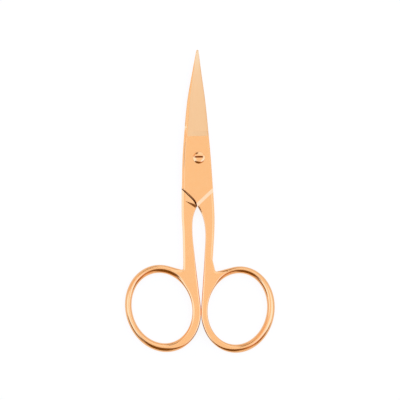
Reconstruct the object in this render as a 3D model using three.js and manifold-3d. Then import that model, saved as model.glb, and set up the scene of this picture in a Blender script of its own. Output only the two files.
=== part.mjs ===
import * as THREE from "three";
import { mergeVertices } from "three/addons/utils/BufferGeometryUtils.js";
import Module from "manifold-3d";

// Nail scissors with straight blades, closed and lying on their back. Lengths are millimetres.
// X runs across, Y from the finger rings to the tips, Z up through the joint.
// The origin is on the pivot axis, at the flat back of the rear half.
// A half is drawn with its outer face up, its spine at minus X and its ring at plus X.
// Height is measured from the plane where the two halves meet, and a drop is measured
// from the pivot towards the rings.

// Thickness of the two halves
const plateThickness = 1.4;
const matingGap = 0.06;
const faceStep = 0.33;
const grindDepth = 0.1;
const spineTipThickness = 0.7;
const edgeHeelThickness = 0.55;
const edgeTipThickness = 0.25;

// Places along the blade, up from the pivot
const grindLine = 6.45;
const grindRun = 1.5;
const middleShare = 0.53;
const nearTipShare = 0.81;
const tipRadius = 0.35;
const tipFlat = 0.12;

// Lengths along the handle, one after another down from the pivot
const shoulderDrop = 9.05;
const shoulderToBend = 3.35;
const bendToCrotch = 2.1;
const crotchToFlare = 2.8;
const flareToWaist = 3.9;
const waistToLow = 9.3;

// Where the handle thickens from shank to ring
const waistToThicken = 4.8;
const thickenRun = 10;

// Edges
const sideChamfer = 0.2;
const diagonalChamfer = 0.12;
const legBevel = 1.4;
const padBevel = 0.8;
const crotchToPadEnd = 0.45;
const shankRounding = 0.6;
const ringRounding = 0.74;
const ringSideFlat = 0.46;
const cornerFillet = 0.7;
const chamferLimitShare = 0.4;
const filletLimitShare = 0.5;
const mitreLimitShare = 0.5;

// Clearances
const shoulderGap = 0.3;
const ringGap = 0.24;
const neckClearance = 0.05;
const threadClearance = 0.02;
const headClearance = 0.03;

// Pivot screw
const headRadius = 1.78;
const headEdge = 0.16;
const headDome = 0.3;
const slotWidth = 0.5;
const slotDepth = 0.34;
const neckRadius = 1.05;
const threadRadius = 0.9;

// How far a hidden end or a cutter runs past what it meets, and how near two corners are one
const tuck = 0.08;
const rootRise = 1.6;
const overrun = 2;
const weldDistance = 1e-5;

// Fineness of curves
const stepLength = 1.9;
const roundingSteps = 3;
const ringSegments = 72;
const tipSteps = 4;
const screwSides = 40;
const domeSteps = 4;

// Sizes of the front half. Widths are X at the places named, the lean of the ring is in degrees,
// and a hole is set nearer the other ring and higher than its own ring by small lengths.
const frontSizes = {
  tipReach: 32.1,
  spine: { shoulder: 5.18, pivot: 4.86, grind: 4.33, middle: 3.2, nearTip: 1.52 },
  edge: { pivot: 3.32, grind: 2.8, middle: 1.9, nearTip: 0.8 },
  spineChamfer: 1.05,
  inner: { bend: -1.64, crotch: -0.58, flare: 0.8, waist: 1.57, low: 1.2 },
  outer: { shoulder: 4.06, flare: 4.4, waist: 4.32, low: 3.66 },
  corner: { x: 4.42, belowRingTop: 1.14 },
  shoulderToLeg: 1.15,
  shoulderToPad: 2.75,
  hole: { halfWidth: 8.8, halfLength: 10.65, towardsOther: 0.23, lift: 0.2 },
  ring: { sideWall: 2.03, endWall: 2.25, lean: -10.5, belowLow: 1.96 },
};

// Sizes of the rear half, drawn the same way round
const rearSizes = {
  tipReach: 32,
  spine: { shoulder: 4.05, pivot: 3.52, grind: 3.03, middle: 2.12, nearTip: 1.0 },
  edge: { pivot: 4.3, grind: 3.95, middle: 2.85, nearTip: 1.25 },
  spineChamfer: 0.7,
  inner: { bend: -0.62, crotch: 0.75, flare: 1.88, waist: 2.25, low: 1.55 },
  outer: { shoulder: 5.24, flare: 5.34, waist: 5.17, low: 5.07 },
  corner: { x: 5.16, belowRingTop: 1.43 },
  shoulderToLeg: 1.55,
  shoulderToPad: 3.05,
  hole: { halfWidth: 8.88, halfLength: 10.6, towardsOther: -0.24, lift: 0.12 },
  ring: { sideWall: 2.19, endWall: 2.52, lean: -16, belowLow: 1.17 },
};

// Plating: the tone of each piece, and one shine for all
const frontColour = 0xf4bf8e;
const rearColour = 0xf0ba88;
const screwColour = 0xf6c496;
const platingShine = { metalness: 1, roughness: 0.28 };

// Values that follow from the sizes above
const innerFace = matingGap / 2;
const stackHalf = plateThickness + innerFace;
const shankHalf = stackHalf - faceStep;
const midPlane = stackHalf;
const spineHeelThickness = plateThickness - grindDepth;
const ringEdgeHeight = stackHalf - ringSideFlat / 2;
const bendDrop = shoulderDrop + shoulderToBend;
const crotchDrop = bendDrop + bendToCrotch;
const padEndDrop = crotchDrop + crotchToPadEnd;
const flareDrop = crotchDrop + crotchToFlare;
const waistDrop = flareDrop + flareToWaist;
const lowDrop = waistDrop + waistToLow;
const thickenDrop = waistDrop + waistToThicken;
const quarterTurn = Math.PI / 2;

const wasm = await Module();
wasm.setup();

// A solid for cutting and joining, from any closed geometry
function solidOf(geometry) {
  const bare = geometry.clone();
  bare.deleteAttribute("normal");
  bare.deleteAttribute("uv");
  const merged = mergeVertices(bare, weldDistance);
  const corners = merged.index.array;
  const triVerts = [];
  for (let i = 0; i < corners.length; i += 3) {
    const [a, b, c] = [corners[i], corners[i + 1], corners[i + 2]];
    if (a !== b && b !== c && c !== a) triVerts.push(a, b, c);
  }
  return new wasm.Manifold(
    new wasm.Mesh({
      numProp: 3,
      vertProperties: merged.attributes.position.array,
      triVerts: new Uint32Array(triVerts),
    }),
  );
}

// The geometry to draw, from a cut solid
function geometryOf(solid) {
  const mesh = solid.getMesh();
  const geometry = new THREE.BufferGeometry();
  geometry.setAttribute("position", new THREE.BufferAttribute(mesh.vertProperties, 3));
  geometry.setIndex(new THREE.BufferAttribute(mesh.triVerts, 1));
  geometry.computeVertexNormals();
  return geometry;
}

function indexed(points, triangles) {
  const geometry = new THREE.BufferGeometry();
  geometry.setFromPoints(points);
  geometry.setIndex(triangles);
  return geometry;
}

// A smooth x for every y, through places given from low y to high y
function smooth(places) {
  const ys = places.map(([y]) => y);
  const xs = places.map(([, x]) => x);
  const curve = new THREE.CubicInterpolant(ys, xs, 1);
  return (y) => curve.evaluate(y)[0];
}

// Even steps from one number to another, both ends included
function steps(from, to, longest) {
  const count = Math.max(1, Math.ceil(Math.abs(to - from) / longest));
  return Array.from({ length: count + 1 }, (_, i) => from + ((to - from) * i) / count);
}

// Sections of equal point count joined one after another, closed at both ends
function loft(sections) {
  const width = sections[0].length;
  const points = sections.flat();
  const triangles = [];
  for (let row = 0; row + 1 < sections.length; row++) {
    for (let i = 0; i < width; i++) {
      const a = row * width + i;
      const b = row * width + ((i + 1) % width);
      triangles.push(a, b, b + width, a, b + width, a + width);
    }
  }
  const last = points.length - width;
  for (let i = 1; i + 1 < width; i++) {
    triangles.push(0, i + 1, i, last, last + i, last + i + 1);
  }
  return indexed(points, triangles);
}

// The flat triangles that fill one level of loops, the first loop outside and the rest as holes
function capOf(level) {
  const flat = level.map((loop) => loop.map((p) => new THREE.Vector2(p.x, p.y)));
  return THREE.ShapeUtils.triangulateShape(flat[0], flat.slice(1));
}

// Flat outlines stacked from low to high, with an optional hole in each
function stacked(levels) {
  const points = levels.flat(2);
  const levelSize = levels[0].flat().length;
  const triangles = [];
  for (let level = 0; level + 1 < levels.length; level++) {
    let start = level * levelSize;
    for (const { length: size } of levels[level]) {
      for (let i = 0; i < size; i++) {
        const a = start + i;
        const b = start + ((i + 1) % size);
        triangles.push(a, b, b + levelSize, a, b + levelSize, a + levelSize);
      }
      start += size;
    }
  }
  const top = points.length - levelSize;
  for (const [a, b, c] of capOf(levels[0])) triangles.push(a, c, b);
  for (const [a, b, c] of capOf(levels.at(-1))) triangles.push(top + a, top + b, top + c);
  return indexed(points, triangles);
}

// A loop moved towards its left side, by a distance that can differ from place to place
function movedLeft(loop, distanceAt) {
  return loop.map((point, i) => {
    const before = loop[(i + loop.length - 1) % loop.length];
    const after = loop[(i + 1) % loop.length];
    const arriving = point.clone().sub(before).normalize();
    const leaving = after.clone().sub(point).normalize();
    const along = arriving.clone().add(leaving).normalize();
    const stretch = 1 / Math.max(mitreLimitShare, along.dot(leaving));
    const left = new THREE.Vector2(-along.y, along.x);
    return point.clone().addScaledVector(left, distanceAt(point) * stretch);
  });
}

// The finger ring's outer and inner ellipses; the ring stops half the ring gap short of the other
function ringEllipses(half) {
  const lean = THREE.MathUtils.degToRad(half.ring.lean);
  const halfWidth = half.hole.halfWidth + half.ring.sideWall;
  const halfLength = half.hole.halfLength + half.ring.endWall;
  const across = Math.hypot(halfWidth * Math.cos(lean), halfLength * Math.sin(lean));
  const along = Math.hypot(halfWidth * Math.sin(lean), halfLength * Math.cos(lean));
  const x = ringGap / 2 + across;
  const y = -ringTopDrop(half) - along;
  const hole = { ...half.hole, x: x - half.hole.towardsOther, y: y + half.hole.lift, lean };
  return { outer: { x, y, halfWidth, halfLength, lean }, hole };
}

function ringTopDrop(half) {
  return lowDrop + half.ring.belowLow;
}

function ellipsePoints(ellipse, from, to, count) {
  const { x, y, halfWidth, halfLength, lean } = ellipse;
  const curve = new THREE.EllipseCurve(x, y, halfWidth, halfLength, from, to, false, lean);
  return curve.getPoints(count);
}

// The angle on an ellipse where a straight line from an outside point touches it
function touchAngle(ellipse, from, side) {
  const place = new THREE.Vector2(from.x - ellipse.x, from.y - ellipse.y);
  place.rotateAround(new THREE.Vector2(), -ellipse.lean);
  const u = place.x / ellipse.halfWidth;
  const v = place.y / ellipse.halfLength;
  return Math.atan2(v, u) + side * Math.acos(1 / Math.hypot(u, v));
}

// The edges of a half, each as x for a given y
function edgesOf(half) {
  const middle = half.tipReach * middleShare;
  const nearTip = half.tipReach * nearTipShare;
  const blade = (side, sign, shoulder) =>
    smooth([
      [-shoulderDrop, sign * shoulder],
      [0, sign * side.pivot],
      [grindLine, sign * side.grind],
      [middle, sign * side.middle],
      [nearTip, sign * side.nearTip],
      [half.tipReach - tipRadius, sign * tipRadius],
    ]);
  const inner = smooth([
    [-lowDrop, half.inner.low],
    [-waistDrop, half.inner.waist],
    [-flareDrop, half.inner.flare],
    [-crotchDrop, half.inner.crotch],
    [-bendDrop, half.inner.bend],
    [-shoulderDrop, -half.spine.shoulder],
  ]);
  const outer = smooth([
    [-lowDrop, half.outer.low],
    [-waistDrop, half.outer.waist],
    [-flareDrop, half.outer.flare],
    [-shoulderDrop, half.outer.shoulder],
  ]);
  const spine = blade(half.spine, -1, half.spine.shoulder);
  const edge = blade(half.edge, 1, half.outer.shoulder);
  return { spine, edge, inner, outer };
}

// The straight foot of the bevel from the raised joint face down to the shank, as x for a given y
function legOf(half, edges) {
  const legDrop = shoulderDrop + half.shoulderToLeg;
  const low = new THREE.Vector2(edges.inner(-crotchDrop), -crotchDrop);
  const high = new THREE.Vector2(edges.outer(-legDrop), -legDrop);
  const slope = (high.x - low.x) / (high.y - low.y);
  return (y) => low.x + (y - low.y) * slope;
}

// Heights of the ground blade's outer face above its inner face, at the spine and at the edge
function groundHeights(half, y) {
  const heel = grindLine + grindRun;
  const share = (y - heel) / (half.tipReach - heel);
  return {
    spine: innerFace + THREE.MathUtils.lerp(spineHeelThickness, spineTipThickness, share),
    edge: innerFace + THREE.MathUtils.lerp(edgeHeelThickness, edgeTipThickness, share),
  };
}

// One cross-section of blade or joint, seen from the tip: inner face, edge, outer face, spine
function plateSection(y, sides, tops, feet, chamfers) {
  const at = (x, height) => new THREE.Vector3(x, y, height);
  const width = sides.right - sides.left;
  const shareRight = 1 - chamfers.right / width;
  const shareLeft = chamfers.left / width;
  return [
    at(sides.left, innerFace),
    at(sides.right, innerFace),
    at(sides.right, feet.right),
    at(sides.right - chamfers.right, THREE.MathUtils.lerp(tops.left, tops.right, shareRight)),
    at(sides.left + chamfers.left, THREE.MathUtils.lerp(tops.left, tops.right, shareLeft)),
    at(sides.left, feet.left),
  ];
}

// Where the joint plate has a cross-section, from the grind line down to the crotch
function jointPlaces(half) {
  const legDrop = shoulderDrop + half.shoulderToLeg;
  const corners = [-bendDrop, -legDrop, legBevel - legDrop];
  const upper = steps(grindLine, -shoulderDrop, stepLength);
  const lower = steps(-shoulderDrop, -crotchDrop, stepLength / 2);
  return [...new Set([...upper, ...lower, ...corners])].sort((a, b) => b - a);
}

// The joint plate narrows below the shoulder between the diagonal edge and the bevel's foot
function jointSections(half, edges) {
  const leg = legOf(half, edges);
  return jointPlaces(half).map((y) => {
    const isLow = y < -shoulderDrop;
    const left = isLow ? edges.inner(y) : edges.spine(y);
    const side = isLow ? edges.outer(y) : edges.edge(y);
    const foot = leg(y);
    const right = Math.max(Math.min(foot, side), left + tuck);
    const limit = (right - left) * chamferLimitShare;
    const chamfers = {
      left: Math.min(isLow ? diagonalChamfer : half.spineChamfer, limit),
      right: Math.min(Math.max(right - (foot - legBevel), sideChamfer), limit),
    };
    const bevelTop = shankHalf + (faceStep * (foot - right + chamfers.right)) / legBevel;
    const top = Math.min(stackHalf, bevelTop);
    const feet = {
      left: top - (isLow ? diagonalChamfer : faceStep),
      right: Math.min(stackHalf - sideChamfer, top - (faceStep * chamfers.right) / legBevel),
    };
    return plateSection(y, { left, right }, { left: top, right: top }, feet, chamfers);
  });
}

// The round end of the blade, from the small flat at its very tip to the straight edges
function tipPlaces(half) {
  const widest = Math.acos(tipFlat / 2 / tipRadius);
  const angles = steps(widest, 0, widest / tipSteps).slice(0, -1);
  return angles.map((angle) => {
    const right = tipRadius * Math.cos(angle);
    return { y: half.tipReach - tipRadius * (1 - Math.sin(angle)), left: -right, right };
  });
}

function bladeSections(half, edges) {
  const places = steps(half.tipReach - tipRadius, grindLine + grindRun, stepLength);
  const straight = places.map((y) => ({ y, left: edges.spine(y), right: edges.edge(y) }));
  const heelWidth = half.spine.grind + half.edge.grind;
  return [...tipPlaces(half), ...straight].map(({ y, left, right }) => {
    const heights = groundHeights(half, y);
    const share = (right - left) / heelWidth;
    const chamfers = { left: half.spineChamfer * share, right: sideChamfer * share };
    const tops = { left: heights.spine, right: heights.edge };
    const feet = { left: heights.spine - faceStep * share, right: heights.edge };
    return plateSection(y, { left, right }, tops, feet, chamfers);
  });
}

function plateSolid(half) {
  const edges = edgesOf(half);
  return solidOf(loft([...bladeSections(half, edges), ...jointSections(half, edges)]));
}

// The outline of shank and ring, from the crotch round the ring and back up to the joint
function handleOutline(half) {
  const edges = edgesOf(half);
  const { outer } = ringEllipses(half);
  const at = (x, y) => new THREE.Vector2(x, y);
  const innerPlaces = steps(-crotchDrop - tuck, -lowDrop, stepLength);
  const innerPoints = innerPlaces.map((y) => at(edges.inner(y), y));
  const corner = at(half.corner.x, -ringTopDrop(half) - half.corner.belowRingTop);
  const from = touchAngle(outer, innerPoints.at(-1), 1);
  const to = touchAngle(outer, corner, -1) + 2 * Math.PI;
  const ringPoints = ellipsePoints(outer, from, to, ringSegments);
  const outerPlaces = steps(-lowDrop, -shoulderDrop, stepLength);
  const outerPoints = outerPlaces.map((y) => at(edges.outer(y), y));
  outerPoints.at(-1).x -= tuck;
  const filletEnd = (end) => {
    const share = Math.min(filletLimitShare, cornerFillet / corner.distanceTo(end));
    return corner.clone().lerp(end, share);
  };
  const ends = [filletEnd(ringPoints.at(-1)), filletEnd(outerPoints[0])];
  const fillet = new THREE.QuadraticBezierCurve(ends[0], corner, ends[1]);
  const root = rootRise - shoulderDrop;
  return [
    ...innerPoints,
    ...ringPoints,
    ...fillet.getPoints(roundingSteps),
    ...outerPoints,
    at(edges.edge(root) - tuck, root),
    at(0, root),
  ];
}

// Half thickness, rounding width and rounding height of the handle at a given y
function handleShape(y) {
  const share = THREE.MathUtils.smoothstep(-y, thickenDrop, thickenDrop + thickenRun);
  return {
    halfThickness: THREE.MathUtils.lerp(shankHalf, stackHalf, share),
    rounding: THREE.MathUtils.lerp(shankRounding, ringRounding, share),
    edgeHeight: THREE.MathUtils.lerp(shankRounding, ringEdgeHeight, share),
  };
}

// Shank and ring, rounded all round like a worn forging
function handleSolid(half) {
  const { hole } = ringEllipses(half);
  const outline = handleOutline(half);
  const holeLoop = ellipsePoints(hole, 0, 2 * Math.PI, ringSegments).slice(1).toReversed();
  const level = (turn, side) => {
    const inset = (p) => handleShape(p.y).rounding * (1 - Math.cos(turn));
    return [outline, holeLoop].map((loop) => {
      const moved = movedLeft(loop, inset);
      return moved.map((p, i) => {
        const shape = handleShape(loop[i].y);
        const height = shape.halfThickness - shape.edgeHeight * (1 - Math.sin(turn));
        return new THREE.Vector3(p.x, p.y, side * height);
      });
    });
  };
  const turns = steps(0, quarterTurn, quarterTurn / roundingSteps);
  const upper = turns.map((turn) => level(turn, 1));
  const lower = turns.toReversed().map((turn) => level(turn, -1));
  return solidOf(stacked([...lower, ...upper]));
}

// The raised pad on the far side of the shank, between the shoulder and its own bevel
function padSolid(half) {
  const edges = edgesOf(half);
  const padDrop = shoulderDrop + half.shoulderToPad;
  const root = rootRise - shoulderDrop;
  const level = (height, bevel, inset) => {
    const at = (x, y) => new THREE.Vector3(x, y, -height);
    return [[
      at(edges.inner(-padEndDrop) + inset, -padEndDrop + bevel),
      at(edges.outer(-padDrop) - inset, -padDrop + bevel),
      at(edges.edge(root) - inset, root),
      at(0, root),
    ]];
  };
  return solidOf(stacked([
    level(stackHalf, padBevel, shankRounding / 2 + tuck),
    level(shankHalf, 0, tuck),
    level(innerFace, 0, tuck),
  ]));
}

// What the other half's joint plate sweeps free on this half's far side
function shoulderCutter(other) {
  const edges = edgesOf(other);
  const shift = shoulderGap * Math.SQRT1_2;
  const far = other.tipReach + overrun;
  const at = (x, y) => new THREE.Vector2(x, y - shift);
  const diagonal = steps(-flareDrop, -bendDrop, stepLength / 2);
  const shape = new THREE.Shape([
    at(far, far),
    at(-far, far),
    at(-far, -flareDrop),
    ...diagonal.map((y) => at(shift - edges.inner(y), y)),
    at(shift + other.spine.shoulder, -shoulderDrop),
    at(far, -shoulderDrop),
  ]);
  const depth = stackHalf + overrun;
  const geometry = new THREE.ExtrudeGeometry(shape, { depth, bevelEnabled: false });
  return solidOf(geometry.translate(0, 0, innerFace - depth));
}

// A hole for the screw, through the plate
function screwHole(radius) {
  const height = stackHalf + overrun;
  const geometry = new THREE.CylinderGeometry(radius, radius, height, screwSides);
  return solidOf(geometry.rotateX(quarterTurn).translate(0, 0, stackHalf / 2));
}

function halfGeometry(half, other, holeRadius) {
  const handle = handleSolid(half).add(padSolid(half)).subtract(shoulderCutter(other));
  return geometryOf(plateSolid(half).add(handle).subtract(screwHole(holeRadius)));
}

// The screw: flush end, threaded length in the rear half, neck in the front half, slotted domed head
function screwGeometry() {
  const seat = 2 * stackHalf + headClearance;
  const domeFoot = seat + headEdge;
  const sphereRadius = (headRadius ** 2 + headDome ** 2) / (2 * headDome);
  const rim = Math.asin(headRadius / sphereRadius);
  const at = (radius, height) => new THREE.Vector2(radius, height);
  const dome = steps(rim, 0, rim / domeSteps).map((angle) =>
    at(sphereRadius * Math.sin(angle), domeFoot + headDome - sphereRadius * (1 - Math.cos(angle))),
  );
  const profile = [
    at(0, 0),
    at(threadRadius, 0),
    at(threadRadius, midPlane),
    at(neckRadius, midPlane),
    at(neckRadius, seat),
    at(headRadius, seat),
    ...dome,
  ];
  const turned = new THREE.LatheGeometry(profile, screwSides).rotateX(quarterTurn);
  const slotFloor = domeFoot + headDome - slotDepth;
  const slot = new THREE.BoxGeometry(2 * headRadius + overrun, slotWidth, overrun);
  slot.translate(0, 0, slotFloor + overrun / 2);
  return geometryOf(solidOf(turned).subtract(solidOf(slot)));
}

function part(name, geometry, color) {
  const material = new THREE.MeshStandardMaterial({ color, ...platingShine });
  const mesh = new THREE.Mesh(geometry, material);
  mesh.name = name;
  return mesh;
}

// Front blade, its joint plate, and the handle on the right
function frontHalf() {
  const geometry = halfGeometry(frontSizes, rearSizes, neckRadius + neckClearance);
  const mesh = part("front_half", geometry, frontColour);
  mesh.position.z = midPlane;
  return mesh;
}

// Rear blade and the handle on the left, turned over to face the front half
function rearHalf() {
  const geometry = halfGeometry(rearSizes, frontSizes, threadRadius + threadClearance);
  const mesh = part("rear_half", geometry, rearColour);
  mesh.position.z = midPlane;
  mesh.rotation.y = Math.PI;
  return mesh;
}

function pivotScrew() {
  return part("pivot_screw", screwGeometry(), screwColour);
}

const group = new THREE.Group();
group.add(frontHalf(), rearHalf(), pivotScrew());

export default group;
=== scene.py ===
"""Straight nail scissors in peach rose gold plating, closed, seen from straight above."""

import math

import bmesh
import bpy
import numpy as np
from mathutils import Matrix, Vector, geometry


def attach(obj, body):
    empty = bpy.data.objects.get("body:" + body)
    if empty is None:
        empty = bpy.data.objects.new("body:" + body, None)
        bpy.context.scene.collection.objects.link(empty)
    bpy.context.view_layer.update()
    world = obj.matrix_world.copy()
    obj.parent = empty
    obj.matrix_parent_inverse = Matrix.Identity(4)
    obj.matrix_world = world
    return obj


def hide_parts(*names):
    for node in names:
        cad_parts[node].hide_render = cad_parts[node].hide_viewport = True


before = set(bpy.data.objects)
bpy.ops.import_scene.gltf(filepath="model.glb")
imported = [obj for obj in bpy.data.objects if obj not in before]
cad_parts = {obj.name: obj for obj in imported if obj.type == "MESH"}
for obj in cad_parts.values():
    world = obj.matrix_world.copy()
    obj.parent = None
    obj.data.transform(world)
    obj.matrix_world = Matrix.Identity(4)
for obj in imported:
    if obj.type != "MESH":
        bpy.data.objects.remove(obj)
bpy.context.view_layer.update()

# One millimetre in the scene's unit. Shapes are worked out in millimetres, as the solids are.
MM = 0.001

# A half is drawn with its outer face up, its spine at minus X and its ring at plus X.
# Height is measured from the plane where the two halves meet, and a drop is measured
# from the pivot towards the rings.

# Thickness of the two halves
PLATE_THICKNESS = 1.4
MATING_GAP = 0.06
FACE_STEP = 0.33
GRIND_DEPTH = 0.1
SPINE_TIP_THICKNESS = 0.7
EDGE_HEEL_THICKNESS = 0.55
EDGE_TIP_THICKNESS = 0.25

# Places along the blade, up from the pivot, as lengths or as shares of its reach
GRIND_LINE = 6.45
GRIND_RUN = 1.5
MIDDLE_SHARE = 0.53
NEAR_TIP_SHARE = 0.81
TIP_RADIUS = 0.35
TIP_FLAT = 0.12

# Lengths along the handle, one after another down from the pivot
SHOULDER_DROP = 9.05
BEND_DROP = SHOULDER_DROP + 3.35
CROTCH_DROP = BEND_DROP + 2.1
FLARE_DROP = CROTCH_DROP + 2.8
WAIST_DROP = FLARE_DROP + 3.9
LOW_DROP = WAIST_DROP + 9.3
PAD_END_DROP = CROTCH_DROP + 0.45
THICKEN_DROP = WAIST_DROP + 4.8
THICKEN_RUN = 10

# Edges
SIDE_CHAMFER = 0.2
GAP_CHAMFER = 0.17
LEG_BEVEL = 1.4
SHANK_INNER_ROUNDING = 0.22
CONTACT_ROUNDING = 0.55
HOLE_ROUNDING_DROP = 0.55

# The pad on the shank's far side: its bevel, the height that is left where it has faded, and
# how far that is from the outer edge
PAD_BEVEL = 1.12
PAD_FADE = 0.01
PAD_FADE_INSET = 1.1

# Ground facets: width, drop and the rounding after them, and the drops between which the facet
# below the crotch fades out
SHANK_FACET = (0.45, 0.13, 0.16)
CROTCH_FACET = (0.4, 0.27, 0.08)
PLAIN_EDGE = (0.06, 0.01, 0.18)
CROTCH_FACET_FADE = (CROTCH_DROP + 0.5, CROTCH_DROP + 3.6)

# The fillet between shank and ring, the largest share it takes of a line that it joins, and the
# smallest cosine that a sharp corner's mitre is worked out with
CORNER_FILLET = 0.7
FILLET_LIMIT_SHARE = 0.5
SMALLEST_MITRE_COSINE = 0.5

# The wire of a ring: how square its section is, its flat side, and where its crest runs, as a
# share of its width from the outer edge. The crest moves between two sines of the angle upwards.
WIRE_SQUARENESS = 1.85
WIRE_SIDE_FLAT = 0.15
CREST_AT_TOP = 0.33
CREST_ELSEWHERE = 0.58
CREST_CHANGE = (0.1, 1)
CREST_FLAT = 0.03
WIRE_INSET_LIMIT = 1.5

# Where the flat side of a ring turns into round wire, in degrees from the place next to the
# other ring, and where the outside does so, in millimetres from the corner with the shank
ROUND_BELOW = (47, 92)
ROUND_ABOVE = (40, 70)
ROUND_FROM_CORNER = (0.2, 2.6)

# Extra metal on the side of a ring that all but touches the other ring
CONTACT_FILL = 0.13

# Strips from the flat face outwards, as shares of their width and of their drop. The spine's
# strip changes shape between two lengths up the ground blade.
SPINE_STRIP = ((0, 0), (0.34, 0.11), (0.42, 0.2), (0.53, 0.9), (1, 1))
SPINE_STRIP_ON_BLADE = ((0, 0), (0.3, 0.1), (0.5, 0.18), (0.82, 0.3), (1, 1))
SPINE_STRIP_CHANGE = (0.3, 1.8)
SPINE_STRIP_DROP = 0.4
EDGE_STRIP = ((0, 0), (0.35, 0.08), (0.7, 0.35), (0.9, 0.7), (1, 1))

# Clearances. The gap at the shoulder narrows towards the mating face and widens to the crotch.
SHOULDER_GAP = 0.27
SHOULDER_GAP_AT_FOOT = 0.02
CROTCH_GAP_SHARE = 1.6
RING_GAP = 0.24
NECK_CLEARANCE = 0.05
THREAD_CLEARANCE = 0.02
HEAD_CLEARANCE = 0.03

# Pivot screw. The slot's floor rises between two distances from the axis.
HEAD_RADIUS = 1.78
HEAD_EDGE = 0.16
HEAD_DOME = 0.3
DOME_SQUARENESS = 3.4
RIM_ROUNDING = 0.07
SLOT_WIDTH = 0.5
SLOT_DEPTH = 0.34
SLOT_FLOOR_SHARE = 0.55
SLOT_OFFSET = 0.25
SLOT_ENDS = (0.95, 1.6)
SLOT_END_RISE = 0.2
NECK_RADIUS = 1.05
THREAD_RADIUS = 0.9

# How far a hidden end or a cutter runs past what it meets, the last as shares of the leg's bevel
TUCK = 0.08
ROOT_RISE = 1.6
OVERRUN = 2
LEG_CUTTER_SPAN = (-1.5, 3)

# How far the outermost faces stay inside the solids
TRIM = 0.012

# Fineness of curves and of the grid inside flat faces, the angle from which an edge is sharp,
# and the distance within which two points are one
STEP = 0.5
SLOT_STEP = 0.15
GRID_STEP = 0.7
FLAT_STEPS = 8
TIP_STEPS = 8
ROUNDING_STEPS = 10
DOME_STEPS = 16
STRAIGHT_STEPS = 26
RING_SEGMENTS = 220
MEASURING_SEGMENTS = 4 * RING_SEGMENTS
SCREW_SIDES = 96
SHARP_ANGLE = math.radians(12)
SAME_PLACE = 1e-7

# Faces told apart by how far their normals point up or down, or for the slot's walls sideways
FACES_UP = 0.5
LIES_FLAT = 0.999
STRIP_SLOPES = 0.7
STANDS_UP = 0.8
SLOT_WALL = 0.5

# Painted shade, a dark colour where shade falls in creases and gaps: along the spine strip, as a
# share and where it is; at the shoulder, how far above it and how far from each half's wall; and
# its share on the slot wall that faces the tips, which is painted lighter as the lit wall
CREASE_PAINTED_SHADE = 0.6
CREASE_PAINTED_SHADE_MIDDLE = 1
CREASE_PAINTED_SHADE_FADE = (2.5, 5)
PAINTED_SHADE_ABOVE_SHOULDER = 0.5
OWN_WALL_REACH = 0.25
MET_WALL_REACH = 0.6
MET_WALL_SHIFT = 0.2
LIT_WALL_PAINTED_SHADE = 0.3

# The two halves. Their edges are given as distances from the line through the pivot, at the
# places and drops above. Those of the handle's inner edge are negative as long as it is on the
# spine's side of that line. A lean is in degrees.
FRONT = {
    "tip_reach": 32.08,
    "spine": {"shoulder": 5.18, "pivot": 4.86, "grind": 4.33, "middle": 3.2, "near_tip": 1.52},
    "edge": {"pivot": 3.32, "grind": 2.8, "middle": 1.9, "near_tip": 0.8},
    "spine_chamfer": 1.05,
    "inner": {"bend": -1.64, "crotch": -0.58, "flare": 0.8, "waist": 1.57, "low": 1.2},
    "outer": {"shoulder": 4.06, "flare": 4.4, "waist": 4.32, "low": 3.66},
    "corner": {"x": 4.42, "below_ring_top": 1.55},
    "shoulder_to_leg": 1.15,
    "shoulder_to_pad": 2.75,
    "hole": {"half_width": 8.8, "half_length": 10.65, "rounding": 0.4},
    "hole_shift": {"towards_other": 0.23, "lift": 0.2},
    "ring": {"side_wall": 2.03, "end_wall": 2.25, "lean": -10.5, "below_low": 1.96},
}
REAR = {
    "tip_reach": 32,
    "spine": {"shoulder": 4.05, "pivot": 3.52, "grind": 3.03, "middle": 2.12, "near_tip": 1.0},
    "edge": {"pivot": 4.3, "grind": 3.95, "middle": 2.85, "near_tip": 1.25},
    "spine_chamfer": 0.7,
    "inner": {"bend": -0.62, "crotch": 0.75, "flare": 1.88, "waist": 2.25, "low": 1.55},
    "outer": {"shoulder": 5.24, "flare": 5.34, "waist": 5.17, "low": 5.07},
    "corner": {"x": 5.16, "below_ring_top": 1.7},
    "shoulder_to_leg": 1.55,
    "shoulder_to_pad": 3.05,
    "hole": {"half_width": 8.88, "half_length": 10.6, "rounding": 0.75},
    "hole_shift": {"towards_other": -0.24, "lift": 0.12},
    "ring": {"side_wall": 2.19, "end_wall": 2.52, "lean": -16, "below_low": 1.17},
}

# Values that follow from the sizes above
INNER_FACE = MATING_GAP / 2
STACK_HALF = PLATE_THICKNESS + INNER_FACE
SHANK_HALF = STACK_HALF - FACE_STEP
SPINE_HEEL_THICKNESS = PLATE_THICKNESS - GRIND_DEPTH
QUARTER_TURN = math.pi / 2
DIAGONAL = math.sqrt(0.5)


def smooth(places):
    """A smooth x for every y, through places given from low y to high y."""
    ys = np.array([y for y, _ in places], float)
    xs = np.array([x for _, x in places], float)
    slopes = np.diff(xs) / np.diff(ys)
    tangents = np.concatenate([slopes[:1], (slopes[1:] + slopes[:-1]) / 2, slopes[-1:]])

    def at(y):
        i = int(np.clip(np.searchsorted(ys, y, side="right") - 1, 0, len(slopes) - 1))
        run = ys[i + 1] - ys[i]
        t = (y - ys[i]) / run
        start = (1 + 2 * t) * (1 - t) ** 2 * xs[i] + t * (1 - t) ** 2 * run * tangents[i]
        end = t * t * (3 - 2 * t) * xs[i + 1] - t * t * (1 - t) * run * tangents[i + 1]
        return float(start + end)

    return at


def steps(start, end, longest):
    """Even steps from one number to another, both ends included."""
    slack = 1e-9
    count = max(1, math.ceil(abs(end - start) / longest - slack))
    return [start + (end - start) * i / count for i in range(count + 1)]


def lerp(a, b, share):
    """The value between two others, at a share of the way."""
    return a + (b - a) * share


def smoothstep(value, low, high):
    """0 up to the low value and 1 from the high one, with a smooth change between them."""
    share = np.clip((value - low) / (high - low), 0, 1)
    return share * share * (3 - 2 * share)


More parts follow.
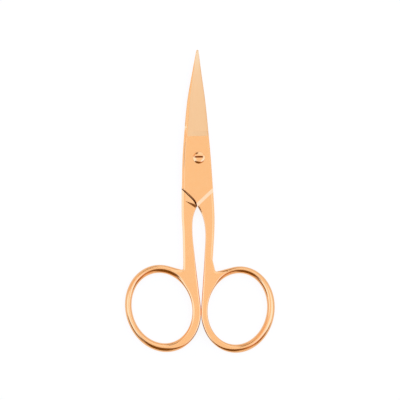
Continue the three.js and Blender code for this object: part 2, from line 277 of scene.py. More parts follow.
def ring_top_drop(half):
    return LOW_DROP + half["ring"]["below_low"]


def ring_ellipses(half):
    """The finger ring's outer and inner ellipses."""
    hole, ring = half["hole"], half["ring"]
    lean = math.radians(ring["lean"])
    width = hole["half_width"] + ring["side_wall"]
    length = hole["half_length"] + ring["end_wall"]
    across = math.hypot(width * math.cos(lean), length * math.sin(lean))
    along = math.hypot(width * math.sin(lean), length * math.cos(lean))
    centre = np.array([RING_GAP / 2 + across, -ring_top_drop(half) - along])
    outer = {
        "centre": centre - (CONTACT_FILL / 2, 0),
        "half": (width + CONTACT_FILL / 2 - TRIM, length - TRIM),
        "lean": lean,
    }
    shift = np.array([-half["hole_shift"]["towards_other"], half["hole_shift"]["lift"]])
    inner = {
        "centre": centre + shift,
        "half": (hole["half_width"], hole["half_length"]),
        "lean": lean,
    }
    return outer, inner


def ellipse_points(ellipse, start, end, count):
    turn = np.linspace(start, end, count + 1)
    u = ellipse["half"][0] * np.cos(turn)
    v = ellipse["half"][1] * np.sin(turn)
    c, s = math.cos(ellipse["lean"]), math.sin(ellipse["lean"])
    return np.stack([c * u - s * v, s * u + c * v], 1) + ellipse["centre"]


def touch_angle(ellipse, point, side):
    """The angle on an ellipse where a straight line from an outside point touches it."""
    dx, dy = np.array(point) - ellipse["centre"]
    c, s = math.cos(ellipse["lean"]), math.sin(ellipse["lean"])
    u = (c * dx + s * dy) / ellipse["half"][0]
    v = (-s * dx + c * dy) / ellipse["half"][1]
    return math.atan2(v, u) + side * math.acos(1 / math.hypot(u, v))


def edges_of(half):
    """The edges of a half, each as x for a given y."""
    reach = half["tip_reach"]

    def blade(side, sign, shoulder):
        return smooth([
            (-SHOULDER_DROP, sign * shoulder),
            (0, sign * side["pivot"]),
            (GRIND_LINE, sign * side["grind"]),
            (reach * MIDDLE_SHARE, sign * side["middle"]),
            (reach * NEAR_TIP_SHARE, sign * side["near_tip"]),
            (reach - TIP_RADIUS, sign * TIP_RADIUS),
        ])

    inner, outer = half["inner"], half["outer"]
    return {
        "spine": blade(half["spine"], -1, half["spine"]["shoulder"]),
        "edge": blade(half["edge"], 1, outer["shoulder"]),
        "inner": smooth([
            (-LOW_DROP, inner["low"]),
            (-WAIST_DROP, inner["waist"]),
            (-FLARE_DROP, inner["flare"]),
            (-CROTCH_DROP, inner["crotch"]),
            (-BEND_DROP, inner["bend"]),
            (-SHOULDER_DROP, -half["spine"]["shoulder"]),
        ]),
        "outer": smooth([
            (-LOW_DROP, outer["low"]),
            (-WAIST_DROP, outer["waist"]),
            (-FLARE_DROP, outer["flare"]),
            (-SHOULDER_DROP, outer["shoulder"]),
        ]),
    }


# Meshes

def new_object(name, points, faces):
    mesh = bpy.data.meshes.new(name)
    mesh.from_pydata([tuple(p) for p in points], [], [tuple(f) for f in faces])
    shape = bmesh.new()
    shape.from_mesh(mesh)
    bmesh.ops.recalc_face_normals(shape, faces=shape.faces)
    shape.to_mesh(mesh)
    shape.free()
    mesh.update()
    made = bpy.data.objects.new(name, mesh)
    bpy.context.scene.collection.objects.link(made)
    return made


def combine(target, operation, tool):
    """Joins a solid to another, or cuts it away, and drops the tool."""
    modifier = target.modifiers.new("combine", "BOOLEAN")
    modifier.operation = operation
    modifier.solver = "EXACT"
    modifier.object = tool
    view = bpy.context.evaluated_depsgraph_get()
    made = bpy.data.meshes.new_from_object(target.evaluated_get(view))
    target.modifiers.clear()
    target.data = made
    bpy.data.objects.remove(tool)
    return target


def walls(sizes, level_count):
    """The faces between levels, each of which holds loops of the given numbers of points."""
    level_size = sum(sizes)
    faces = []
    for level in range(level_count - 1):
        start = level * level_size
        for size in sizes:
            for i in range(size):
                a, b = start + i, start + (i + 1) % size
                faces.append((a, b, b + level_size, a + level_size))
            start += size
    return faces


def loft(name, sections):
    """Sections of equal point count joined one after another, closed at both ends."""
    width = len(sections[0])
    points = [p for section in sections for p in section]
    first, last = range(width), range(len(points) - width, len(points))
    return new_object(name, points, [first[::-1]] + walls([width], len(sections)) + [last])


def circle(radius, height):
    turns = np.linspace(0, 2 * math.pi, SCREW_SIDES, endpoint=False)
    return [(radius * math.cos(t), radius * math.sin(t), height) for t in turns]


def vectors(items, name):
    """One vector of each vertex or face of a mesh."""
    values = np.empty(len(items) * 3)
    items.foreach_get(name, values)
    return values.reshape(-1, 3)


# Plate: blade and joint

def leg_of(half, edges):
    """The straight foot of the bevel from the joint face down to the shank, as x for a given y."""
    leg_drop = SHOULDER_DROP + half["shoulder_to_leg"]
    low_x = edges["inner"](-CROTCH_DROP)
    high_x = edges["outer"](-leg_drop)
    slope = (high_x - low_x) / (CROTCH_DROP - leg_drop)
    return lambda y: low_x + (y + CROTCH_DROP) * slope


def ground_heights(half, y):
    heel = GRIND_LINE + GRIND_RUN
    share = (y - heel) / (half["tip_reach"] - heel)
    return (
        INNER_FACE + lerp(SPINE_HEEL_THICKNESS, SPINE_TIP_THICKNESS, share),
        INNER_FACE + lerp(EDGE_HEEL_THICKNESS, EDGE_TIP_THICKNESS, share),
    )


def strip_of(y):
    """The steps of the spine strip, which loses its ledge on the ground blade."""
    share = smoothstep(y - GRIND_LINE - GRIND_RUN, *SPINE_STRIP_CHANGE)
    return [
        (lerp(a, c, share), lerp(b, d, share))
        for (a, b), (c, d) in zip(SPINE_STRIP, SPINE_STRIP_ON_BLADE)
    ]


def plate_section(y, sides, tops, feet, chamfers):
    """One cross-section of blade or joint: inner face, edge, outer face and spine."""
    left, right = sides
    width = right - left

    def top_at(x):
        return lerp(tops[0], tops[1], (x - left) / width)

    points = [(left, INNER_FACE), (right, INNER_FACE)]
    flat_right = right - chamfers[1]
    flat_left = left + chamfers[0]
    for across, down in reversed(EDGE_STRIP):
        x = flat_right + chamfers[1] * across
        points.append((x, lerp(top_at(flat_right), feet[1], down)))
    for share in steps(0, 1, 1 / FLAT_STEPS)[1:-1]:
        x = lerp(flat_right, flat_left, share)
        points.append((x, top_at(x)))
    for across, down in strip_of(y):
        x = flat_left - chamfers[0] * across
        points.append((x, lerp(top_at(flat_left), feet[0], down)))
    return [(x, y, height) for x, height in points]


def joint_sections(half, edges):
    """The joint plate, with its spine run on past the shoulder for the corner cutter to trim."""
    foot = leg_of(half, edges)
    leg_drop = SHOULDER_DROP + half["shoulder_to_leg"]
    places = set(steps(GRIND_LINE, -SHOULDER_DROP, STEP) + steps(-SHOULDER_DROP, -CROTCH_DROP, STEP))
    sections = []
    for y in sorted(places | {-leg_drop}, reverse=True):
        left = edges["spine"](max(y, -SHOULDER_DROP))
        side = edges["edge"](y) if y > -SHOULDER_DROP else edges["outer"](y)
        right = min(side, foot(y) + TUCK)
        sections.append(plate_section(
            y, (left, right), (STACK_HALF, STACK_HALF),
            (STACK_HALF - SPINE_STRIP_DROP, STACK_HALF - SIDE_CHAMFER),
            (half["spine_chamfer"], SIDE_CHAMFER),
        ))
    return sections


def corner_cutter(half, edges):
    """What is cut off a joint plate below its shoulder, along its diagonal and round edge."""
    far = half["tip_reach"] + OVERRUN
    line = [(edges["inner"](y), y) for y in steps(-CROTCH_DROP, -SHOULDER_DROP, STEP / 2)]
    outline = line + [(-far, -SHOULDER_DROP), (-far, -far), (line[0][0], -far)]
    levels = (
        (-OVERRUN, 0),
        (STACK_HALF - GAP_CHAMFER, 0),
        (STACK_HALF + OVERRUN, GAP_CHAMFER + OVERRUN),
    )
    return loft("corner cutter", [
        [(x + DIAGONAL * shift, y + DIAGONAL * shift, height) for x, y in outline]
        for height, shift in levels
    ])


def leg_cutter(half, edges):
    """What lies above the bevel from the joint face down to the shank."""
    foot = leg_of(half, edges)

    def section(y):
        low, high = [
            (foot(y) - LEG_BEVEL * share, SHANK_HALF + FACE_STEP * share)
            for share in LEG_CUTTER_SPAN
        ]
        return [(x, y, height) for x, height in (low, high, (low[0], high[1]))]

    return loft("leg cutter", [section(-CROTCH_DROP - OVERRUN), section(GRIND_LINE)])


def blade_sections(half, edges):
    """The ground blade, from its rounded tip to the joint plate."""
    reach = half["tip_reach"]
    places = []
    widest = math.acos(TIP_FLAT / 2 / TIP_RADIUS)
    for angle in steps(widest, 0, widest / TIP_STEPS)[:-1]:
        side = TIP_RADIUS * math.cos(angle)
        places.append((reach - TIP_RADIUS * (1 - math.sin(angle)), -side, side))
    for y in steps(reach - TIP_RADIUS, GRIND_LINE + GRIND_RUN, STEP):
        places.append((y, edges["spine"](y), edges["edge"](y)))
    heel_width = half["spine"]["grind"] + half["edge"]["grind"]
    sections = []
    for y, left, right in places:
        tops = ground_heights(half, y)
        share = (right - left) / heel_width
        chamfers = (half["spine_chamfer"] * share, SIDE_CHAMFER * share)
        feet = (tops[0] - SPINE_STRIP_DROP * share, tops[1])
        sections.append(plate_section(y, (left, right), tops, feet, chamfers))
    return sections


def plate_solid(half):
    edges = edges_of(half)
    plate = loft("plate", blade_sections(half, edges) + joint_sections(half, edges))
    combine(plate, "DIFFERENCE", corner_cutter(half, edges))
    return combine(plate, "DIFFERENCE", leg_cutter(half, edges))


# Handle: shank and finger ring

def handle_outline(half):
    """The outline of shank and ring, and which of its points come after the ring's far end."""
    edges = edges_of(half)
    outer, _ = ring_ellipses(half)
    inner_points = [(edges["inner"](y), y) for y in steps(-CROTCH_DROP - TUCK, -LOW_DROP, STEP)]
    corner = corner_of(half)
    start = touch_angle(outer, inner_points[-1], 1)
    end = touch_angle(outer, corner, -1) + 2 * math.pi
    ring_points = ellipse_points(outer, start, end, RING_SEGMENTS)
    first = np.array(inner_points[-1])
    straight = [lerp(first, ring_points[0], s) for s in steps(0, 1, 1 / STRAIGHT_STEPS)[1:-1]]
    outer_points = [[edges["outer"](y), y] for y in steps(-LOW_DROP, -SHOULDER_DROP, STEP)]
    outer_points[-1][0] -= TUCK

    def towards(end):
        length = np.linalg.norm(corner - end)
        return lerp(corner, end, min(FILLET_LIMIT_SHARE, CORNER_FILLET / length))

    a, b = towards(ring_points[-1]), towards(np.array(outer_points[0]))
    tangent = [lerp(ring_points[-1], a, s) for s in steps(0, 1, 2 / STRAIGHT_STEPS)[1:-1]]
    fillet = [
        (1 - s) ** 2 * a + 2 * s * (1 - s) * corner + s * s * b
        for s in steps(0, 1, 1 / ROUNDING_STEPS)
    ]
    root = ROOT_RISE - SHOULDER_DROP
    near = inner_points + straight + list(ring_points[:RING_SEGMENTS // 2])
    far = list(ring_points[RING_SEGMENTS // 2:]) + tangent + fillet + outer_points
    far += [(edges["edge"](root) - TUCK, root), (0, root)]
    is_far = np.array([False] * len(near) + [True] * len(far))
    return np.array(near + far, float), is_far


def corner_of(half):
    """Where the shank's outer edge and the top of the ring would meet without a fillet."""
    return np.array([half["corner"]["x"], -ring_top_drop(half) - half["corner"]["below_ring_top"]])


def moved_left(loop, distances):
    """A loop moved towards its left side, by a distance for each point."""
    arriving = loop - np.roll(loop, 1, 0)
    leaving = np.roll(loop, -1, 0) - loop
    arriving /= np.linalg.norm(arriving, axis=1, keepdims=True)
    leaving /= np.linalg.norm(leaving, axis=1, keepdims=True)
    along = arriving + leaving
    along /= np.linalg.norm(along, axis=1, keepdims=True)
    stretch = 1 / np.maximum(SMALLEST_MITRE_COSINE, (along * leaving).sum(1))
    left = np.stack([-along[:, 1], along[:, 0]], 1)
    return loop + left * (distances * stretch)[:, None]


def nearest(points, others):
    return np.linalg.norm(points[:, None] - others[None], axis=2).min(1)


def turn_round_ring(points, half):
    """Degrees round the ring from the side next to the other ring, upwards positive."""
    outer, _ = ring_ellipses(half)
    away = points - outer["centre"]
    return np.degrees(np.arctan2(away[:, 1], -away[:, 0]))


def quarter(inset, drop, squareness=2.0):
    """A rounded edge: its inset and drop, from the flat face to the side, for every point."""
    turn = np.linspace(0, QUARTER_TURN, ROUNDING_STEPS + 1)[:, None]
    power = 2 / squareness
    return np.stack(np.broadcast_arrays(
        inset * (1 - np.sin(turn) ** power),
        drop * (1 - np.abs(np.cos(turn)) ** power),
    ))


def faceted(facet, count):
    """A ground facet with a small rounding after it, for a number of points."""
    width, depth, rounding = facet
    turn = np.linspace(0, QUARTER_TURN, ROUNDING_STEPS)
    inset = np.concatenate([[width + rounding], rounding * (1 - np.sin(turn))])
    drop = np.concatenate([[0], depth + rounding * (1 - np.cos(turn))])
    return np.repeat(np.stack([inset, drop])[:, :, None], count, axis=2)


def half_thickness(y):
    return lerp(SHANK_HALF, STACK_HALF, thicken_share(y))


def thicken_share(y):
    return smoothstep(-y, THICKEN_DROP, THICKEN_DROP + THICKEN_RUN)


def crest_share(points, half):
    upwards = np.sin(np.radians(turn_round_ring(points, half)))
    return lerp(CREST_ELSEWHERE, CREST_AT_TOP, smoothstep(upwards, *CREST_CHANGE))


def outline_profile(points, is_far, half, hole_points, crotch_facet):
    """Insets and drops along the outline: shank edges, contact side and outer side of the wire."""
    turn = turn_round_ring(points, half)
    wire_drop = half_thickness(points[:, 1]) - WIRE_SIDE_FLAT
    width = nearest(points, hole_points)
    wire_inset = np.minimum(crest_share(points, half) * width, WIRE_INSET_LIMIT)
    wire = quarter(wire_inset, wire_drop, WIRE_SQUARENESS)
    below_crotch = smoothstep(-points[:, 1], *CROTCH_FACET_FADE)
    rounding = lerp(SHANK_INNER_ROUNDING, CONTACT_ROUNDING, thicken_share(points[:, 1]))
    inner = lerp(faceted(crotch_facet, len(points)), quarter(rounding, rounding), below_crotch)
    flat = np.where(is_far, faceted(SHANK_FACET, len(points)), inner)
    from_corner = np.linalg.norm(points - corner_of(half), axis=1)
    above = smoothstep(from_corner, *ROUND_FROM_CORNER) * (points[:, 0] > corner_of(half)[0])
    is_wire = np.where(is_far & (turn > 0), above, smoothstep(-turn, *ROUND_BELOW))
    is_wire *= points[:, 1] < -ring_top_drop(half)
    return lerp(flat, wire, np.where(is_far & (turn < 0), 1, is_wire))


def hole_profile(points, half, outer_points):
    """Insets and drops along the hole of the ring."""
    turn = turn_round_ring(points, half)
    wire_drop = half_thickness(points[:, 1]) - WIRE_SIDE_FLAT
    share = 1 - CREST_FLAT - crest_share(points, half)
    wire = quarter(share * nearest(points, outer_points), wire_drop, WIRE_SQUARENESS)
    flat = quarter(np.full(len(points), half["hole"]["rounding"]), HOLE_ROUNDING_DROP)
    is_wire = np.where(turn < 0, smoothstep(-turn, *ROUND_BELOW), smoothstep(turn, *ROUND_ABOVE))
    return lerp(flat, wire, is_wire)


def handle_solid(half):
    """Shank and ring, rounded all round."""
    outer, inner = ring_ellipses(half)
    outline, is_far = handle_outline(half)
    hole = ellipse_points(inner, 0, 2 * math.pi, RING_SEGMENTS)[1:][::-1]
    outer_loop, hole_loop = [
        ellipse_points(ellipse, 0, 2 * math.pi, MEASURING_SEGMENTS) for ellipse in (outer, inner)
    ]
    shapes = {
        side: (
            (outline, outline_profile(outline, is_far, half, hole_loop, crotch_facet)),
            (hole, hole_profile(hole, half, outer_loop)),
        )
        for side, crotch_facet in ((1, CROTCH_FACET), (-1, PLAIN_EDGE))
    }

    def level(step, side):
        rows = []
        for loop, (insets, drops) in shapes[side]:
            height = half_thickness(loop[:, 1]) - drops[step]
            rows.append(np.column_stack([moved_left(loop, insets[step]), side * height]))
        return rows

    upwards = [level(step, -1) for step in range(ROUNDING_STEPS + 1)]
    upwards += [level(step, 1) for step in reversed(range(ROUNDING_STEPS + 1))]
    return stacked("handle", upwards)


def is_inside(points, loop):
    """Which points a closed loop goes round, by the sides that lie to the right of each."""
    x, y = points[:, 0, None], points[:, 1, None]
    x0, y0 = loop[None, :, 0], loop[None, :, 1]
    x1, y1 = np.roll(loop, -1, 0)[None, :, 0], np.roll(loop, -1, 0)[None, :, 1]
    crosses = (y0 > y) != (y1 > y)
    with np.errstate(divide="ignore", invalid="ignore"):
        at = x0 + (y - y0) / (y1 - y0) * (x1 - x0)
    return ((crosses & (x < at)).sum(1) % 2) == 1


def cap(loops):
    """Triangles that fill the first loop around the others, with a grid of points inside."""
    outer = loops[0][:, :2]
    holes = [loop[:, :2] for loop in loops[1:]]
    low, high = outer.min(0), outer.max(0)
    grid = np.array([
        (x, y)
        for x in np.arange(low[0], high[0], GRID_STEP)
        for y in np.arange(low[1], high[1], GRID_STEP)
    ])
    rim = np.concatenate([outer] + holes)
    keep = is_inside(grid, outer) & (nearest(grid, rim) > GRID_STEP / 2)
    for hole in holes:
        keep &= ~is_inside(grid, hole)
    points = np.concatenate([rim, grid[keep]])
    borders = []
    start = 0
    for loop in [outer] + holes:
        borders += [(start + i, start + (i + 1) % len(loop)) for i in range(len(loop))]
        start += len(loop)
    made = geometry.delaunay_2d_cdt([Vector(p) for p in points], borders, [], 0, SAME_PLACE)
    verts = np.array([tuple(v) for v in made[0]])
    source = [ids[0] for ids in made[3]]
    faces = np.array(made[2])
    middles = verts[faces].mean(1)
    inside = is_inside(middles, outer)
    for hole in holes:
        inside &= ~is_inside(middles, hole)
    triangles = [[source[i] for i in face] for face in faces[inside]]
    return points[len(rim):], triangles


def stacked(name, levels):
    """Outlines stacked from low to high, each with a hole, capped at both ends."""
    sizes = [len(loop) for loop in levels[0]]
    level_size = sum(sizes)
    points = [np.concatenate(level) for level in levels]
    faces = walls(sizes, len(levels))
    total = len(levels) * level_size
    for level, side in ((levels[0], -1), (levels[-1], 1)):
        base = 0 if side < 0 else total - level_size
        extra, triangles = cap(level)
        heights = side * half_thickness(extra[:, 1])
        points.append(np.column_stack([extra, heights]))
        first = sum(len(p) for p in points[:-1])
        for triangle in triangles:
            ids = [base + i if i < level_size else first + i - level_size for i in triangle]
            faces.append(tuple(ids) if side > 0 else tuple(reversed(ids)))
    return new_object(name, np.concatenate(points), faces)


def pad_solid(half):
    """The raised pad on the shank's far side, which fades out towards the outer edge."""
    edges = edges_of(half)
    pad_drop = SHOULDER_DROP + half["shoulder_to_pad"]
    root = ROOT_RISE - SHOULDER_DROP
    inner_x, outer_x = edges["inner"](-PAD_END_DROP), edges["outer"](-pad_drop)
    fade_x = outer_x - PAD_FADE_INSET
    fade_y = lerp(-PAD_END_DROP, -pad_drop, (fade_x - inner_x) / (outer_x - inner_x))

    def face(x):
        return SHANK_HALF + lerp(PAD_FADE, FACE_STEP, min(1, (fade_x - x) / (fade_x - inner_x)))

    def level(height_at, bevel, inset):
        plan = (
            (inner_x + inset, -PAD_END_DROP, bevel),
            (fade_x, fade_y, bevel * PAD_FADE / FACE_STEP),
            (fade_x, root, 0),
            (0, root, 0),
        )
        return [(x, y + rise, -height_at(x)) for x, y, rise in plan]

    return loft("pad", [
        level(face, PAD_BEVEL, SHANK_INNER_ROUNDING + TUCK),
        level(lambda x: SHANK_HALF, 0, SHANK_INNER_ROUNDING / 2 + TUCK),
        level(lambda x: INNER_FACE, 0, TUCK),
    ])


def shoulder_cutter(other):
    """What the other half's joint plate sweeps free on this half's far side."""
    edges = edges_of(other)
    far = other["tip_reach"] + OVERRUN
    diagonal = [(-edges["inner"](y), y) for y in steps(-FLARE_DROP, -BEND_DROP, STEP / 2)]
    outline = [(far, far), (-far, far), (-far, -FLARE_DROP)] + diagonal
    outline += [(other["spine"]["shoulder"], -SHOULDER_DROP), (far, -SHOULDER_DROP)]
    levels = (
        (-STACK_HALF - OVERRUN, SHOULDER_GAP + GAP_CHAMFER + OVERRUN),
        (GAP_CHAMFER - STACK_HALF, SHOULDER_GAP),
        (INNER_FACE, SHOULDER_GAP_AT_FOOT),
    )

    def shift(gap, y):
        share = smoothstep(-y, SHOULDER_DROP, CROTCH_DROP)
        return DIAGONAL * gap * lerp(1, CROTCH_GAP_SHARE, share)

    return loft("shoulder cutter", [
        [(x + shift(gap, y), y - shift(gap, y), height) for x, y in outline]
        for height, gap in levels
    ])


def mark(mesh, name, values):
    """Writes a share from 0 to 1 on every face, for the materials to read."""
    layer = mesh.attributes.new(name, "FLOAT", "FACE")
    layer.data.foreach_set("value", np.asarray(values, float))


def mark_half(mesh, half, other):
    """Marks the ground blade, the satin flats, and painted shade in the spine strip's crease and
    shoulder walls.
    """
    edges, other_edges = edges_of(half), edges_of(other)
    centres, normals = vectors(mesh.polygons, "center"), vectors(mesh.polygons, "normal")
    upwards = normals[:, 2]
    heel_width = half["spine"]["grind"] + half["edge"]["grind"]
    spine = np.array([edges["spine"](y) for y in centres[:, 1]])
    width = np.array([edges["edge"](y) for y in centres[:, 1]]) - spine
    strip = spine + half["spine_chamfer"] * np.minimum(width / heel_width, 1)

    is_blade = centres[:, 1] > GRIND_LINE
    is_outer = (upwards > FACES_UP) & (centres[:, 0] > strip)
    mark(mesh, "ground", is_blade & (is_outer | (upwards < -FACES_UP)))
    mark(mesh, "satin", np.abs(upwards) > LIES_FLAT)

    # Painted shade: a dark share on the spine strip's steep crease faces, then full painted shade on
    # the walls in the shoulder's gap
    is_strip = (centres[:, 0] > spine + TUCK) & (centres[:, 0] < strip) & (centres[:, 2] > 0)
    along = 1 - smoothstep(np.abs(centres[:, 1] - CREASE_PAINTED_SHADE_MIDDLE), *CREASE_PAINTED_SHADE_FADE)
    painted_shade = CREASE_PAINTED_SHADE * along * (is_strip & (upwards < STRIP_SLOPES))
    for i in np.nonzero(np.abs(upwards) < STANDS_UP)[0]:
        x, y, z = centres[i]
        if -CROTCH_DROP < y < -SHOULDER_DROP + PAINTED_SHADE_ABOVE_SHOULDER:
            own = z > 0 and abs(x - edges["inner"](y)) < OWN_WALL_REACH
            met_x = -other_edges["inner"](y + MET_WALL_SHIFT)
            met = z < 0 and abs(x - met_x) < MET_WALL_REACH
            if own or met:
                painted_shade[i] = 1
    mark(mesh, "painted_shade", painted_shade)


def half_piece(name, half, other, hole_radius, turned):
    """One half, turned over about its length if it is the rear one, and raised to its place."""
    piece = handle_solid(half)
    combine(piece, "UNION", pad_solid(half))
    combine(piece, "DIFFERENCE", shoulder_cutter(other))
    combine(piece, "UNION", plate_solid(half))
    hole = [circle(hole_radius, height) for height in (-OVERRUN, STACK_HALF + OVERRUN)]
    combine(piece, "DIFFERENCE", loft("hole", hole))
    mark_half(piece.data, half, other)
    points = vectors(piece.data.vertices, "co")
    if turned:
        points *= (-1, 1, -1)
    points[:, 2] += STACK_HALF
    finish_surface(piece, name, points)
    return piece


def finish_surface(piece, name, points):
    """Brings a piece into the scene's unit and gives it clean shading."""
    piece.data.vertices.foreach_set("co", (points * MM).ravel())
    piece.data.update()
    piece.name = piece.data.name = name
    piece.data.shade_smooth()
    piece.data.set_sharp_from_angle(angle=SHARP_ANGLE)
    modifier = piece.modifiers.new("normals", "WEIGHTED_NORMAL")
    modifier.keep_sharp = True


# Pivot screw

def screw_profile():
    """Radius and height from the end of the thread round to the top of the dome."""
    seat = 2 * STACK_HALF + HEAD_CLEARANCE
    dome_foot = seat + HEAD_EDGE
    rise = HEAD_DOME - TRIM
    profile = [(THREAD_RADIUS, 0), (THREAD_RADIUS, STACK_HALF), (NECK_RADIUS, STACK_HALF)]
    profile += [(NECK_RADIUS, seat), (HEAD_RADIUS, seat), (HEAD_RADIUS, dome_foot - RIM_ROUNDING)]
    for share in steps(1, 0, 1 / DOME_STEPS)[:-1]:
        radius = (HEAD_RADIUS - RIM_ROUNDING) * share
        profile.append((radius, dome_foot + rise * (1 - share ** DOME_SQUARENESS)))
    return profile, dome_foot + rise


def slot_cutter(floor, top):
    """The slot, with a floor that rises towards both ends as a round saw leaves it."""
    side = HEAD_RADIUS + OVERRUN
    wide = SLOT_WIDTH / 2

    def section(x):
        foot = floor + SLOT_END_RISE * smoothstep(abs(x), *SLOT_ENDS)
        right = [(wide * SLOT_FLOOR_SHARE, foot), (wide, top), (wide + OVERRUN, top + OVERRUN)]
        outline = [(0, foot)] + right + [(-y, z) for y, z in reversed(right)]
        return [(x, y + SLOT_OFFSET, z) for y, z in outline]

    return loft("slot", [section(x) for x in steps(-side, side, SLOT_STEP)])


def screw_solid():
    """The screw without its slot, and the height of its dome."""
    profile, top = screw_profile()
    points = [(0, 0, 0)] + [p for radius, z in profile for p in circle(radius, z)] + [(0, 0, top)]
    faces = []
    last = 1 + (len(profile) - 1) * SCREW_SIDES
    for i in range(SCREW_SIDES):
        j = (i + 1) % SCREW_SIDES
        faces.append((0, 1 + j, 1 + i))
        faces.append((last + i, last + j, len(points) - 1))
        for row in range(len(profile) - 1):
            a, b = 1 + row * SCREW_SIDES + i, 1 + row * SCREW_SIDES + j
            faces.append((a, b, b + SCREW_SIDES, a + SCREW_SIDES))
    return new_object("screw", points, faces), top


def mark_screw(mesh, floor):
    """Paints shade into the slot up to its rising ends, lighter on the lit wall that faces the tips.
    """
    centres, normals = vectors(mesh.polygons, "center"), vectors(mesh.polygons, "normal")
    from_slot = np.abs(centres[:, 1] - SLOT_OFFSET)
    is_slot = (from_slot < SLOT_WIDTH / 2 + TUCK) & (centres[:, 2] > floor - TUCK)
    is_slot &= (np.abs(normals[:, 1]) > SLOT_WALL) | (centres[:, 2] < floor + TUCK)
    along = 1 - smoothstep(np.abs(centres[:, 0]), *SLOT_ENDS)
    # Painted shade is full on the shaded wall and the floor, and lighter on the lit wall
    shaded = np.where(normals[:, 1] > SLOT_WALL, LIT_WALL_PAINTED_SHADE, 1)
    mark(mesh, "painted_shade", is_slot * along * shaded)
    mark(mesh, "ground", np.zeros(len(centres)))
    mark(mesh, "satin", np.zeros(len(centres)))


def screw_piece():
    piece, top = screw_solid()
    floor = top - SLOT_DEPTH
    combine(piece, "DIFFERENCE", slot_cutter(floor, top))
    mark_screw(piece.data, floor)
    finish_surface(piece, "slotted_screw", vectors(piece.data.vertices, "co"))
    return piece


# Materials

def linear(red, green, blue):
    """A colour given as it is seen, from 0 to 255, as the shader wants it: the sRGB curve."""
    parts = [c / 255 for c in (red, green, blue)]
    return tuple(c / 12.92 if c <= 0.04045 else ((c + 0.055) / 1.055) ** 2.4 for c in parts) + (1,)


WHITE = (1, 1, 1, 1)
PLATING_DEEP = linear(253, 189, 128)
PLATING_PALE = linear(254, 193, 133)
BRUSHED_DEEP = linear(244, 189, 132)
BRUSHED_PALE = linear(250, 202, 148)
# Dark brown painted as shade into creases, gaps and the screw's slot
PAINTED_SHADE_COLOUR = linear(150, 64, 0)

# Grains of the noises to the metre along X, Y and Z, and where nearly all of their values lie
MOTTLE_GRAINS = (700, 700, 700)
FINE_GRAINS = (9000, 9000, 9000)
BRUSH_GRAINS = (14000, 500, 14000)
GRAIN_DETAIL = 4
GRAIN_VALUES = (0.3, 0.7)

# Roughness, each pair being the ends of what a noise varies it between
PLATED_ROUGHNESS = (0.12, 0.18)
SCREW_ROUGHNESS = (0.09, 0.15)
SATIN_ROUGHNESS = (0.19, 0.24)
BRUSHED_ROUGHNESS = (0.36, 0.44)
# Roughness where shade is painted
PAINTED_SHADE_ROUGHNESS = 0.7
BUMP_DEPTH = 5e-7


def feed(tree, node, inputs):
    """Sets a node's inputs to numbers or colours, or links them to other nodes' outputs."""
    for key, value in inputs.items():
        if isinstance(value, bpy.types.NodeSocket):
            tree.links.new(value, node.inputs[key])
        else:
            node.inputs[key].default_value = value


def add(tree, kind, inputs=None, **settings):
    """The outputs of a new node."""
    node = tree.nodes.new(kind)
    for key, value in settings.items():
        setattr(node, key, value)
    feed(tree, node, inputs or {})
    return node.outputs


def blend(tree, share, low, high):
    """A number that goes from low to high as the share goes from 0 to 1."""
    return add(tree, "ShaderNodeMix", {0: share, 2: low, 3: high}, data_type="FLOAT")[0]


def blend_colour(tree, share, low, high):
    return add(tree, "ShaderNodeMix", {0: share, 6: low, 7: high}, data_type="RGBA")[2]


def reckon(tree, operation, first, second):
    return add(tree, "ShaderNodeMath", {0: first, 1: second}, operation=operation)[0]


def fade(tree, value, start, end):
    """0 up to the start value and 1 from the end one, with a smooth change between them."""
    inputs = {"Value": value, "From Min": start, "From Max": end}
    return add(tree, "ShaderNodeMapRange", inputs, interpolation_type="SMOOTHSTEP")["Result"]


def grain(tree, place, grains):
    place = add(tree, "ShaderNodeMapping", {"Vector": place, "Scale": grains})["Vector"]
    inputs = {"Vector": place, "Scale": 1, "Detail": GRAIN_DETAIL}
    return add(tree, "ShaderNodeTexNoise", inputs)["Fac"]


def spread(tree, noise, low, high):
    """A noise's values spread from one number to another."""
    start, end = GRAIN_VALUES
    inputs = {"Value": noise, "From Min": start, "From Max": end, "To Min": low, "To Max": high}
    return add(tree, "ShaderNodeMapRange", inputs)["Result"]


def new_material(name):
    """A material, its tree of nodes and its shader."""
    material = bpy.data.materials.new(name)
    material.use_nodes = True
    tree = material.node_tree
    return material, tree, next(n for n in tree.nodes if n.type == "BSDF_PRINCIPLED")


